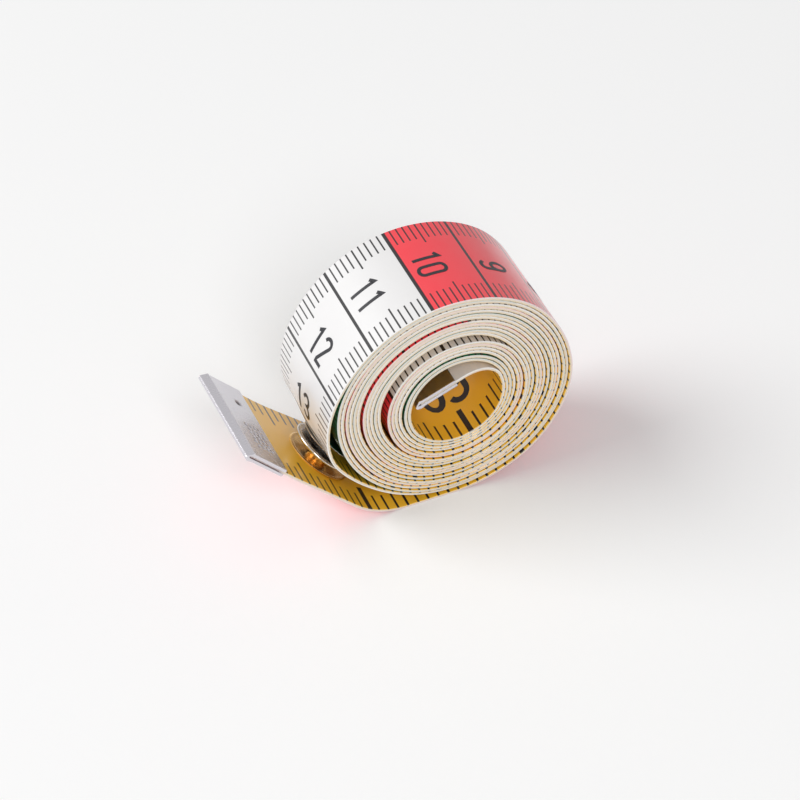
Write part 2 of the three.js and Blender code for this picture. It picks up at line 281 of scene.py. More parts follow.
# %% Sway
TAIL_SWAY = 0.28
PROUD = {2: 0.11, 5: 0.12, 6: 0.08, 8: 0.04, 9: 0.10, 12: 0.14, 14: 0.11}
sway_keys = [(0, 0.0), (1.0, 0.0)]
for k in range(1, LAYERS + 1):
    sway_keys += [(k + 0.12, -PROUD.get(k, -0.02)), (k + 0.62, 0.05 * math.sin(2.4 * k))]


def sway(length):
    t = np.interp(length, coil_run, coil_turns, left=0, right=turn[-SPLICED])
    wound = smooth_curve(sway_keys, t) * ease(t, 1.0, 1.3) * (1 - ease(t, 18.0, 18.28))
    return wound - TAIL_SWAY * (1 - ease(t, 0.22, 0.36))


# %% [markdown]
# A node material starts from the attributes that the mesh carries: how far along the scale a point is, how
# far across the tape, and how deep in its thickness. Small helpers keep the long chains of Math nodes
# readable: each returns the socket that holds its result, so they nest like ordinary sums.

# %% Helpers for materials
def new_material(name):
    material = bpy.data.materials.new(name)
    material.use_nodes = True
    tree = material.node_tree
    shader = tree.nodes["Principled BSDF"]
    return material, tree, shader


def feed(tree, socket, value):
    if isinstance(value, bpy.types.NodeSocket):
        tree.links.new(value, socket)
    else:
        socket.default_value = value


def calc(tree, operation, *values):
    node = tree.nodes.new("ShaderNodeMath")
    node.operation = operation
    for socket, value in zip(node.inputs, values):
        feed(tree, socket, value)
    return node.outputs[0]


def times(tree, a, b):
    return calc(tree, "MULTIPLY", a, b)


def attribute(tree, name):
    node = tree.nodes.new("ShaderNodeAttribute")
    node.attribute_name = name
    return node.outputs["Fac"]


def mix(tree, share, first_colour, second_colour):
    node = tree.nodes.new("ShaderNodeMix")
    node.data_type = "RGBA"
    feed(tree, node.inputs[0], share)
    feed(tree, node.inputs[6], first_colour)
    feed(tree, node.inputs[7], second_colour)
    return node.outputs[2]


def noise(tree, where, scale, detail=3.0, roughness=0.5):
    node = tree.nodes.new("ShaderNodeTexNoise")
    tree.links.new(where, node.inputs["Vector"])
    node.inputs["Scale"].default_value = scale
    node.inputs["Detail"].default_value = detail
    node.inputs["Roughness"].default_value = roughness
    return node.outputs["Fac"]


def vector(tree, x, y, z):
    node = tree.nodes.new("ShaderNodeCombineXYZ")
    for socket, value in zip(node.inputs, (x, y, z)):
        feed(tree, socket, value)
    return node.outputs[0]


def bump(tree, shader, height, strength, distance):
    node = tree.nodes.new("ShaderNodeBump")
    node.inputs["Strength"].default_value = strength
    node.inputs["Distance"].default_value = distance
    tree.links.new(height, node.inputs["Height"])
    tree.links.new(node.outputs["Normal"], shader.inputs["Normal"])


def rgb(red, green, blue):
    """A colour as it is read off a screen, 0 to 255, for a shader's socket."""
    def linear(v):
        v /= 255
        return v / 12.92 if v <= 0.04045 else ((v + 0.055) / 1.055) ** 2.4
    return (linear(red), linear(green), linear(blue), 1.0)


# %% [markdown]
# A printed line is a mask: 1 where the nearest multiple of its spacing is closer than half its width. Ticks
# are such lines cut off at a distance from the edge.

# %% Helpers for the scale
SOFT_EDGE = 0.04


def near_multiple(tree, along, spacing, half_width):
    steps = calc(tree, "ROUND", calc(tree, "DIVIDE", along, spacing))
    off = calc(tree, "ABSOLUTE", calc(tree, "SUBTRACT", along, times(tree, steps, spacing)))
    soft = calc(tree, "DIVIDE", calc(tree, "SUBTRACT", half_width + SOFT_EDGE / 2, off), SOFT_EDGE)
    return calc(tree, "MAXIMUM", calc(tree, "MINIMUM", soft, 1.0), 0.0)


def ticks(tree, along, edge, spacing, half_width, length):
    return times(tree, near_multiple(tree, along, spacing, half_width), calc(tree, "LESS_THAN", edge, length))


def any_of(tree, *masks):
    total = masks[0]
    for mask in masks[1:]:
        total = calc(tree, "MAXIMUM", total, mask)
    return total


def between(tree, value, low, high):
    above, below = calc(tree, "GREATER_THAN", value, low), calc(tree, "LESS_THAN", value, high)
    return times(tree, above, below)


def weave(tree, along, across):
    """The fine grid of glass yarns that shows through the coating, about nine to the millimetre."""
    warp = calc(tree, "SINE", times(tree, across, 28.0))
    weft = calc(tree, "SINE", times(tree, along, 22.0))
    return times(tree, warp, weft)


# %% [markdown]
# Both sides are vinyl over woven glass: a satin gloss with a trace of the weave, under a clear skin that
# gives a soft glare where the light grazes it. What differs is the ground colour and where the ink lies.

# %% What both sides share
INK = rgb(24, 23, 27)


def vinyl_side(name):
    """A new material, and how far a point is along the tape, across it and from its edge."""
    material, tree, shader = new_material(name)
    along, across = attribute(tree, "along"), attribute(tree, "across")
    edge = calc(tree, "SUBTRACT", TAPE_WIDTH / 2, calc(tree, "ABSOLUTE", across))
    return material, tree, shader, along, across, edge


def cover_with_ink(tree, shader, along, across, ground, cover):
    tree.links.new(mix(tree, cover, ground, INK), shader.inputs["Base Color"])
    shine = calc(tree, "MULTIPLY_ADD", noise(tree, vector(tree, along, across, 0.0), 0.8), 0.12, 0.34)
    tree.links.new(shine, shader.inputs["Roughness"])
    gloss = {"IOR": 1.5, "Specular IOR Level": 0.25, "Coat Weight": 0.9, "Coat Roughness": 0.20}
    for socket, value in gloss.items():
        shader.inputs[socket].default_value = value
    bump(tree, shader, weave(tree, along, across), 0.25, 0.004 * MM)


# %% [markdown]
# The centimetre side changes colour every 10 cm: red, white, green, white. Its ink is a soft black that
# misses a speck here and there. Ticks are given as (spacing, half their width, length), lines likewise.

# %% The centimetre side
RED = rgb(255, 60, 74)
WHITE = rgb(239, 238, 238)
GREEN = rgb(0, 122, 84)
CM_TICKS = [(1.0, 0.115, 3.3), (5.0, 0.125, 4.3)]
CM_LINES = [(10.0, 0.23), (100.0, 0.26)]
CM_PRINTED = (0.5, 1500.4)


def block_colour(tree, along, white):
    block = calc(tree, "MODULO", calc(tree, "FLOOR", calc(tree, "DIVIDE", along, 100.0)), 4.0)
    colour = mix(tree, calc(tree, "COMPARE", block, 0.0, 0.25), white, RED)
    return mix(tree, calc(tree, "COMPARE", block, 2.0, 0.25), colour, GREEN)


def centimetre_side():
    material, tree, shader, along, across, edge = vinyl_side("centimetre_side")
    lines = any_of(tree, *[ticks(tree, along, edge, *tick) for tick in CM_TICKS],
                   *[near_multiple(tree, along, *line) for line in CM_LINES])
    printed = times(tree, lines, between(tree, along, *CM_PRINTED))
    where = vector(tree, along, across, 0.0)
    specks = calc(tree, "GREATER_THAN", noise(tree, where, 5.0, 4.0, 0.7), 0.33)
    cover = times(tree, printed, calc(tree, "MULTIPLY_ADD", specks, 0.17, 0.82))
    handled = times(tree, noise(tree, where, 0.35, 5.0, 0.6), 0.07)
    ground = mix(tree, handled, block_colour(tree, along, WHITE), rgb(196, 186, 180))
    cover_with_ink(tree, shader, along, across, ground, cover)
    return material


CM_SIDE = centimetre_side()
print("made", CM_SIDE.name)

# %% [markdown]
# The inch side is one warm yellow from end to end, with sixteenths of an inch at both edges, longer ticks at
# the quarters and halves, and a heavy bar at each inch along one edge.

# %% The inch side
INCH = 25.4
YELLOW = rgb(255, 198, 50)
INCH_TICKS = [(INCH / 16, 0.175, 3.0), (INCH / 4, 0.19, 3.8), (INCH / 2, 0.20, 4.6)]
INCH_BAR = (INCH, 0.42, 4.6)
INCH_PRINTED = (0.8, 1523.0)


def inch_side():
    material, tree, shader, along, across, edge = vinyl_side("inch_side")
    near_edge = calc(tree, "ADD", across, TAPE_WIDTH / 2)
    lines = any_of(tree, *[ticks(tree, along, edge, *tick) for tick in INCH_TICKS],
                   ticks(tree, along, near_edge, *INCH_BAR))
    printed = times(tree, lines, between(tree, along, *INCH_PRINTED))
    where = vector(tree, along, across, 0.0)
    handled = times(tree, noise(tree, where, 0.3, 5.0, 0.6), 0.16)
    ground = mix(tree, handled, YELLOW, rgb(242, 166, 36))
    cover_with_ink(tree, shader, along, across, ground, times(tree, printed, 0.99))
    return material


INCH_SIDE = inch_side()
print("made", INCH_SIDE.name)

# %% [markdown]
# The slit edge shows how the tape is built: a bright skin of coating on each face and cream glass cloth
# between them. The ink of the blocks tints the skin a little, which is why a rolled tape has faint pink and
# green rings.

# %% The slit edge and the ink
def slit_edge():
    material, tree, shader = new_material("slit_edge")
    along, through_cloth = attribute(tree, "along"), attribute(tree, "through")
    where = vector(tree, along, through_cloth, 0.0)
    bright = rgb(250, 249, 247)
    tinted = mix(tree, 0.16, bright, block_colour(tree, along, bright))
    fibres = mix(tree, noise(tree, where, 3.2, 4.0, 0.7), rgb(226, 206, 172), rgb(250, 241, 224))
    depth = calc(tree, "ADD", through_cloth, times(tree, noise(tree, where, 1.4), 0.06))
    colour = mix(tree, calc(tree, "GREATER_THAN", depth, 0.10), fibres, tinted)
    tree.links.new(colour, shader.inputs["Base Color"])
    shader.inputs["Roughness"].default_value = 0.6
    bump(tree, shader, noise(tree, where, 4.0, 3.0, 0.6), 0.5, 0.03 * MM)
    return material


def ink():
    material, tree, shader = new_material("printing_ink")
    place_on = tree.nodes.new("ShaderNodeNewGeometry").outputs["Position"]
    wear_and_painted_shade = noise(tree, place_on, 2500.0, 4.0, 0.7)
    tree.links.new(mix(tree, wear_and_painted_shade, rgb(28, 28, 33), rgb(54, 54, 60)), shader.inputs["Base Color"])
    shader.inputs["Roughness"].default_value = 0.42
    bump(tree, shader, wear_and_painted_shade, 0.2, 0.01 * MM)
    return material


SLIT_EDGE = slit_edge()
PRINTING_INK = ink()
CLOTH_MATERIALS = [CM_SIDE, INCH_SIDE, SLIT_EDGE, PRINTING_INK]
print("made", SLIT_EDGE.name, "and", PRINTING_INK.name)

# %% [markdown]
# Every piece is a mesh made in code: rings of points with a skin of faces between them. Two helpers lay the
# skin and turn the finished mesh into an object.

# %% Helpers for meshes
def skin(bm, one, two):
    """Lays the faces between two rings that have the same number of points."""
    n = len(one)
    return [bm.faces.new((one[k], one[(k + 1) % n], two[(k + 1) % n], two[k])) for k in range(n)]


def smooth_object(name, bm, materials, sharp):
    """An object of the mesh in hand, smooth-shaded but for the edges that turn by more than sharp degrees."""
    mesh = bpy.data.meshes.new(name)
    bm.to_mesh(mesh)
    bm.free()
    mesh.polygons.foreach_set("use_smooth", [True] * len(mesh.polygons))
    mesh.set_sharp_from_angle(angle=math.radians(sharp))
    for material in materials:
        mesh.materials.append(material)
    made = bpy.data.objects.new(name, mesh)
    bpy.context.scene.collection.objects.link(made)
    return made


# %% [markdown]
# The figures could be text objects, but a tape's figures are plain pen strokes of one width, taller than
# they are wide. So each figure is a list of strokes, points in a box one unit high, and a stroke becomes a
# thin raised ribbon of ink. An arc is written as (centre, radii, first and last angle).

# %% Figures as strokes
FIGURE_WIDTH = 0.36
FINEST_STEP = 0.35


def arc(cx, cy, rx, ry, start, end, steps=14):
    turned = np.radians(np.linspace(start, end, steps))
    return [(cx + rx * math.cos(a), cy + ry * math.sin(a)) for a in turned]


R = FIGURE_WIDTH / 2
STROKES = {
    "0": [arc(R, 1 - R, R, R, 0, 180) + arc(R, R, R, R, 180, 360) + [(2 * R, 1 - R)]],
    "1": [[(0.08, 0.86), (0.24, 1.0), (0.24, 0.0)]],
    "2": [arc(R, 1 - R, R, R, 172, -28) + [(0.02, 0.10), (0.02, 0.0), (2 * R, 0.0)]],
    "3": [arc(R, 0.775, R, 0.225, 165, -80) + arc(R, 0.275, R, 0.275, 88, -165)],
    "4": [[(0.30, 0.0), (0.30, 1.0), (0.0, 0.30), (0.42, 0.30)]],
    "5": [[(0.38, 1.0), (0.06, 1.0), (0.03, 0.56)] + arc(R, 0.32, R, 0.32, 128, -160)],
    "6": [arc(R, 0.80, R, 0.20, 20, 180, 9) + arc(R, 0.30, R, 0.30, 180, 540, 26)],
    "7": [[(0.0, 1.0), (0.40, 1.0), (0.12, 0.0)]],
    "8": [arc(R, 0.27, R, 0.27, 90, 450, 26), arc(R, 0.77, 0.85 * R, 0.23, 270, 630, 24)],
    "9": [arc(R, 0.20, R, 0.20, 200, 360, 9) + arc(R, 0.70, R, 0.30, 0, 360, 26)],
}
print("figures:", "".join(sorted(STROKES)))


def ribbon(points, width):
    """The two edges of a stroke of even width, as points beside the given ones."""
    points = np.array(points, float)
    keep = np.concatenate([[True], np.linalg.norm(np.diff(points, axis=0), axis=1) > 1e-6])
    points = points[keep]
    line = [points[0]]
    for a, b in zip(points, points[1:]):
        parts = max(1, math.ceil(np.linalg.norm(b - a) / FINEST_STEP))
        line += [a + (b - a) * i / parts for i in range(1, parts + 1)]
    line = np.array(line)
    ahead = np.diff(line, axis=0)
    ahead /= np.linalg.norm(ahead, axis=1)[:, None]
    before = np.concatenate([ahead[:1], ahead])
    after = np.concatenate([ahead, ahead[-1:]])
    along = before + after
    along /= np.linalg.norm(along, axis=1)[:, None]
    mitre = np.maximum((along * after).sum(1), 0.55)
    side = np.stack([-along[:, 1], along[:, 0]], 1) * (width / 2 / mitre)[:, None]
    return line + side, line - side


# %% [markdown]
# A figure is built flat first, with its place along the scale, across the tape and in height as its three
# coordinates. Cutting is easy there: where a figure crosses from one cloth piece to the next, a plane splits
# it and both halves are closed. Only then is it laid on the curved band.

# %% Laying figures on the band
INK_HEIGHT = 0.03
FIGURE_TALL = 4.65
FIGURE_STROKE = 0.54
FIGURE_PITCH = 2.75
UNITS_ACROSS = -1.15
BEFORE_LINE = 1.1


def flat_stroke(bm, left, right, low, high):
    """Adds one closed ribbon between two heights, with its edges given as (along, across)."""
    rings = []
    for a, b in zip(left, right):
        corners = ((*a, low), (*b, low), (*b, high), (*a, high))
        rings.append([bm.verts.new(corner) for corner in corners])
    for one, two in zip(rings, rings[1:]):
        skin(bm, one, two)
    bm.faces.new(rings[0][::-1])
    bm.faces.new(rings[-1])


def centimetre_number(number):
    """Strokes of a number before its line: it reads towards the near edge, with its top towards zero."""
    text = str(number)
    for place_from_right, figure in enumerate(reversed(text)):
        middle = UNITS_ACROSS + FIGURE_PITCH * place_from_right
        for stroke in STROKES[figure]:
            points = [(10 * number - BEFORE_LINE - FIGURE_TALL * y + FIGURE_STROKE / 2 * (2 * y - 1),
                       middle - FIGURE_TALL * (x - R)) for x, y in stroke]
            yield ribbon(points, FIGURE_STROKE)


INCH_TALL = 7.2
INCH_STROKE = 0.98
INCH_PITCH = 4.15


def inch_number(number):
    """Strokes of a number astride its inch: it reads along the scale, with its top towards the far edge."""
    text = str(number)
    for i, figure in enumerate(text):
        middle = INCH * number - 0.6 + INCH_PITCH * (i - (len(text) - 1) / 2)
        for stroke in STROKES[figure]:
            points = [(middle + INCH_TALL * 1.15 * (x - R), INCH_TALL * (y - 0.5) + 0.9) for x, y in stroke]
            yield ribbon(points, INCH_STROKE)


# %% [markdown]
# One function makes every cloth piece: it sweeps a slim bevelled rectangle along the band, gives each face
# the material of its side, and joins the figures of that stretch. The bevel towards the inch side takes the
# yellow and its ticks round the corner, which draws the dotted line seen between the turns.

# %% Making cloth pieces
ROUNDING = 0.07
YELLOW_ROUNDING = 0.07


def section(parts):
    """The points round the tape as (across, height), and the material of the face after each."""
    w, h, r, y = TAPE_WIDTH / 2, TAPE_THICK / 2, ROUNDING, YELLOW_ROUNDING
    outside = [(x, h) for x in np.linspace(-w + r, w - r, parts + 1)]
    inside = [(x, -h) for x in np.linspace(w - y, -w + y, parts + 1)]
    points = [(-w, -h + y), (-w, h - r)] + outside + [(w, h - r), (w, -h + y)] + inside
    return points, [2, 2] + [0] * parts + [2, 2, 1] + [1] * parts + [1]


# %% [markdown]
# Two places leave the even band. Under the socket the cloth is pressed flat, and that fades out before the
# edges. The lifted end is twisted by one and a half degrees, so its far edge lies lower than its near one,
# and the clip pinches the cloth inside it a little narrower.

# %% From the band to space
SOCKET_FACING = 221.0
SOCKET_SEAT = ROLL + 18.29 * way(211.3)
ASIDE = -0.30
PRESSED_FLAT = (4.3, 8.2)
TWIST = 0.025
TWIST_FADES = (12, 24)
PINCH = 0.03
PINCH_FADES = (6.4, 7.4)
all_lengths = np.linspace(float(length_at(0.76)), float(length_at(0.92)), 3000)
SOCKET_LENGTH = all_lengths[np.linalg.norm(place(all_lengths)[0] - SOCKET_SEAT, axis=1).argmin()]
print("the socket sits at", round(float(SOCKET_LENGTH), 2), "mm of the band")


def to_space(length, across, height):
    """A point of the band's neighbourhood: height is counted from its middle towards the centimetre side."""
    spot, facing = place(length)
    past = np.asarray(length - SOCKET_LENGTH)
    hold = 0.35 + 0.65 * ease(past, -2.5, 1.5)
    pull = (hold * (1 - ease(np.hypot(past, across - ASIDE), *PRESSED_FLAT)))[..., None]
    out = way(SOCKET_FACING)
    held = SOCKET_SEAT - TAPE_THICK / 2 * out + past[..., None] * way(SOCKET_FACING + 90)
    spot = spot + pull * (held - spot)
    facing = facing + pull * (out - facing)
    twist = TWIST * across * (1 - ease(length, *TWIST_FADES))
    flat_spot = spot + facing * np.asarray(height + twist)[..., None]
    pinched = across * (1 - PINCH * (1 - ease(length, *PINCH_FADES)))
    return np.stack([flat_spot[..., 0], pinched + sway(length), flat_spot[..., 1]], -1) * MM


def add_figures(bm, layers, start, end, cm_numbers, inch_numbers):
    """Adds the printed numbers that lie between two lengths, cut off cleanly at both."""
    flat_bm = bmesh.new()
    lift = TAPE_THICK / 2
    count = 0
    for numbers, strokes_of, outward in ((cm_numbers, centimetre_number, 1), (inch_numbers, inch_number, -1)):
        for left, right in (edges for number in numbers for edges in strokes_of(number)):
            count += 1
            top = lift + INK_HEIGHT * (1 + 0.15 * (count % 3))
            flat_stroke(flat_bm, left, right, outward * (lift - INK_HEIGHT), outward * top)
    for limit, towards in ((scale_at(start), -1), (scale_at(end), 1)):
        cut = bmesh.ops.bisect_plane(
            flat_bm, geom=flat_bm.verts[:] + flat_bm.edges[:] + flat_bm.faces[:],
            plane_co=(limit, 0, 0), plane_no=(towards, 0, 0), clear_outer=True)
        edges = [e for e in cut["geom_cut"] if isinstance(e, bmesh.types.BMEdge) and e.is_boundary]
        if edges:
            bmesh.ops.holes_fill(flat_bm, edges=edges, sides=0)
    bmesh.ops.recalc_face_normals(flat_bm, faces=flat_bm.faces[:])
    made = {}
    for v in flat_bm.verts:
        length = float(length_of(v.co.x))
        new = bm.verts.new(to_space(np.array(length), v.co.y, np.array(v.co.z)))
        for layer, value in zip(layers, (v.co.x, v.co.y, v.co.z)):
            new[layer] = value
        made[v] = new
    for f in flat_bm.faces:
        face = bm.faces.new([made[v] for v in f.verts])
        face.material_index = 3
    flat_bm.free()


def cloth_piece(name, start, end, step, cm_numbers=(), inch_numbers=(), parts=1):
    """A stretch of the tape between two lengths of the band."""
    bm = bmesh.new()
    layers = [bm.verts.layers.float.new(n) for n in ("along", "across", "through")]
    stations = np.linspace(start, end, max(2, math.ceil((end - start) / step) + 1))
    rings = [[] for _ in stations]
    points, sides = section(parts)
    for across, height in points:
        spots = to_space(stations, across, np.full(len(stations), height))
        for ring, spot, length in zip(rings, spots, stations):
            v = bm.verts.new(spot)
            for layer, value in zip(layers, (scale_at(length), across, height)):
                v[layer] = value
            ring.append(v)
    for one, two in zip(rings, rings[1:]):
        for face, side in zip(skin(bm, one, two), sides):
            face.material_index = side
    for ring in (rings[0], rings[-1][::-1]):
        bm.faces.new(ring).material_index = 2
    bmesh.ops.recalc_face_normals(bm, faces=bm.faces[:])
    add_figures(bm, layers, start, end, cm_numbers, inch_numbers)
    piece = smooth_object(name, bm, CLOTH_MATERIALS, 30)
    print(name, "from", round(start, 1), "to", round(end, 1), "mm,", len(piece.data.polygons), "faces")
    return piece


# %% [markdown]
# The roll is a body of its own, and so is each stretch between two hinges. A piece that crosses one hinge
# starts and ends in the middle of a stretch.

# %% The rolled tape
def length_near(point, low, high):
    """The length of the band where it passes closest to a point."""
    lengths = np.linspace(low, high, 4000)
    spots, _ = place(lengths)
    return float(lengths[np.linalg.norm(spots - point, axis=1).argmin()])


at = {}
for name, point in hinge.items():
    span = (BAND_END - 20, BAND_END) if name.startswith("core") else (0.7, 40)
    at[name] = length_near(point, *span)
print({name: round(v, 2) for name, v in at.items()})

roll_start = at["tail_bend_1"] + 1.2
roll_split = float(length_at(1.0))
roll_end = at["core_bend_1"] - 1.6
outer_turn = cloth_piece("outer_turn", roll_start, roll_split, 0.5, range(3, 16), (2,), parts=16)
wound_turns = cloth_piece("wound_turns", roll_split, roll_end, 0.4, (150,), (58, 59))
for piece in (outer_turn, wound_turns):
    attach(piece, "roll")
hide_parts("wound_tape")

# %% The lifted end
BENDING_STEP = 0.3


def join_body(name, body_a, body_b, start, end, low, high, node, **numbers):
    """A piece of the band across one hinge, baked where it lies; body_a and body_b are not used."""
    piece = cloth_piece(name, start, end, BENDING_STEP, **numbers)
    a, b = (to_space(np.array(v), 0.0, np.array(0.0)) for v in (low, high))
    tuple(a)
    tuple(b)
    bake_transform(piece)
    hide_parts(node)
    return piece


mid_a = (at["tail_bend_1"] + at["tail_bend_2"]) / 2
mid_b = (at["tail_bend_2"] + at["tail_bend_3"]) / 2
after_bends = at["tail_bend_3"] - 0.9
tip = at["tip_flex"]
tail_pieces = [
    join_body("tail_foot", "roll", "tail_a", mid_a, roll_start, roll_start, mid_a, "tail_tape_1",
              cm_numbers=(3,)),
    join_body("tail_bend", "tail_a", "tail_b", mid_b, mid_a, mid_a, mid_b, "tail_tape_2",
              cm_numbers=(3,), inch_numbers=(1,)),
    join_body("tail_rise", "tail_b", "tail_c", after_bends, mid_b, mid_b, after_bends, "tail_tape_3",
              cm_numbers=(3,), inch_numbers=(1,)),
    join_body("tail_end", "tail_c", "tail_tip", CLOTH_INSIDE_CLIP, after_bends, tip + 2.8, tip - 2.8,
              "tail_tape_4", inch_numbers=(1,)),
]

# %% The core end
mid_core = (at["core_bend_1"] + at["core_bend_2"]) / 2
core_pieces = [
    join_body("core_hump", "roll", "core_a", roll_end, mid_core, roll_end, mid_core, "core_tape_1"),
    join_body("core_end", "core_a", "core_tip", mid_core, BAND_END, mid_core, at["core_bend_2"] + 0.6,
              "core_tape_2"),
]

# %% [markdown]
# Rolled aluminium has a fine grain along the sheet and a satin gloss, and nickel plate is smoother. Both get
# their life from what they reflect, so the colour is nearly even and the detail is in roughness and bump.
# Where a float attribute on the mesh is high, the metal is painted dark and dull: painted shade for the
# grooves of a press stud and other hollows.

# %% Metals
def metal(name, colour, gloss, grain_scale, grain, marks, painted_shade_colour):
    """A metal whose grain runs along the sheet, with light marks from use, and painted shade in its grooves."""
    material, tree, shader = new_material(name)
    spot = tree.nodes.new("ShaderNodeTexCoord").outputs["Object"]
    part_of = tree.nodes.new("ShaderNodeSeparateXYZ")
    tree.links.new(spot, part_of.inputs[0])
    x, y, z = part_of.outputs
    lines = noise(tree, vector(tree, times(tree, x, 0.15), y, times(tree, z, 0.15)), grain_scale, 3.0, 0.6)
    cloud = noise(tree, spot, 400.0, 4.0, 0.6)
    # Painted shade: the attribute darkens and dulls the metal in grooves, hollows and dents.
    painted_shade = times(tree, attribute(tree, "painted_shade"), calc(tree, "MULTIPLY_ADD", cloud, 0.6, 0.7))
    clean = mix(tree, times(tree, cloud, 0.35), colour, [0.86 * v for v in colour[:3]] + [1.0])
    tree.links.new(mix(tree, painted_shade, clean, painted_shade_colour), shader.inputs["Base Color"])
    rough = calc(tree, "MULTIPLY_ADD", lines, grain, calc(tree, "MULTIPLY_ADD", cloud, marks, gloss))
    tree.links.new(calc(tree, "MULTIPLY_ADD", painted_shade, 0.2, rough), shader.inputs["Roughness"])
    shader.inputs["Metallic"].default_value = 1.0
    bump(tree, shader, lines, 0.12, 0.01 * MM)
    return material


# The last colour of each metal is the colour of its painted shade.
ALUMINIUM = metal("satin_aluminium", rgb(222, 219, 225), 0.13, 9000.0, 0.14, 0.12, rgb(74, 66, 64))
NICKEL = metal("nickel_plate", rgb(226, 221, 215), 0.06, 5000.0, 0.06, 0.09, rgb(30, 25, 22))
# Painted reflection: the stud's gold colour stands in for the yellow tape that it mirrors.
GOLD_PAINTED_REFLECTION = metal("gold_painted_reflection", rgb(250, 208, 134), 0.10, 5000.0, 0.08, 0.10, rgb(132, 76, 28))
SPRING = metal("spring_wire", rgb(168, 168, 174), 0.16, 8000.0, 0.10, 0.10, rgb(80, 74, 70))
print("made", ALUMINIUM.name, NICKEL.name, GOLD_PAINTED_REFLECTION.name, SPRING.name)


def finish_piece(name, bm, material, body, sharp=38):
    """Turns the mesh in hand into a smooth-shaded piece that rides on a body."""
    bmesh.ops.recalc_face_normals(bm, faces=bm.faces[:])
    piece = smooth_object(name, bm, [material], sharp)
    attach(piece, body)
    print(name, "has", len(piece.data.polygons), "faces")
    return piece


# %% [markdown]
# An end clip is one strip of sheet folded round the end of the tape and pressed flat. The press leaves two
# flats on the nose, and the side edges show both leaves, nearly shut on a dark slit. A bevelled box has
# none of that, so the section is drawn as pairs of points, one on the outside of the sheet and one on the
# inside, and swept across the tape.

# %% The section of an end clip
CLIP_WIDTH = 17.9
LEAF_OUT = 0.64
LEAF_IN = 0.29
CLIP_STEP = 0.13
NOSE = [
    ((1.15, 0.640), (1.15, 0.29)), ((0.98, 0.675), (1.00, 0.30)), ((0.82, 0.725), (0.86, 0.30)),
    ((0.70, 0.750), (0.76, 0.30)), ((0.60, 0.710), (0.68, 0.30)), ((0.42, 0.530), (0.58, 0.28)),
    ((0.22, 0.330), (0.46, 0.22)), ((0.06, 0.170), (0.38, 0.15)), ((-0.06, 0.060), (0.33, 0.09)),
    ((-0.16, -0.060), (0.29, 0.02)), ((-0.21, -0.220), (0.29, -0.06)), ((-0.16, -0.420), (0.33, -0.14)),
    ((0.03, -0.610), (0.44, -0.23)), ((0.32, -0.730), (0.60, -0.29)), ((0.65, -0.770), (0.80, -0.30)),
    ((0.95, -0.720), (1.00, -0.30)), ((1.20, -0.645), (1.20, -0.29)),
]


def clip_section(length):
    """The fold as pairs of (distance from the nose, height), from the upper mouth to the lower one."""
    upper = [((length, LEAF_OUT - 0.08), (length, LEAF_IN + 0.06)),
             ((length - 0.07, LEAF_OUT), (length - 0.05, LEAF_IN))]
    upper += [((x, LEAF_OUT), (x, LEAF_IN)) for x in np.arange(length - 0.2, 1.3, -CLIP_STEP)]
    lower = [((x, -LEAF_OUT), (x, -LEAF_IN)) for x in np.arange(1.4, length - 0.2, 0.5)]
    lower += [((x, -h), (a, -b)) for (x, h), (a, b) in reversed(upper[:2])]
    return upper + NOSE + lower


print("section with", len(clip_section(8.8)), "pairs")

# %% [markdown]
# The upper leaf is punched once near the far corner, which is what grips the cloth, and has small crimp marks
# in rows nearer the other side. They are pushed into the mesh, so they catch the light, and painted shade
# darkens them as well.
# The side edges of the sheet are rounded by a share of its thickness, at 0 and 2 hundredths from the edge.

# %% Punch marks
DIMPLE = (4.85, 4.6)
DIMPLE_SIZE = 0.80
CRIMPS = [(3.4 + 0.92 * i + 0.2 * (j % 2), -0.9 - 0.92 * j) for i in range(4) for j in range(6)]
CRIMP_RADIUS = 0.44
EDGE_ROUNDING = {0: 0.16, 2: 0.05}


def punched(x, y):
    """How deep the upper leaf is pressed in at a place."""
    square = ((abs(x - DIMPLE[0]) ** 3 + abs(y - DIMPLE[1]) ** 3) ** (1 / 3)) / DIMPLE_SIZE
    depth = 0.23 * (1 - ease(square, 0.42, 0.82))
    depth -= 0.05 * ease(square, 0.7, 0.95) * (1 - ease(square, 0.95, 1.4))
    for i, (u, v) in enumerate(CRIMPS):
        deep = 0.20 + 0.04 * math.sin(2.3 * i)
        depth = max(depth, deep * (1 - ease(math.hypot(x - u, y - v) / CRIMP_RADIUS, 0.15, 1.0)))
    return depth


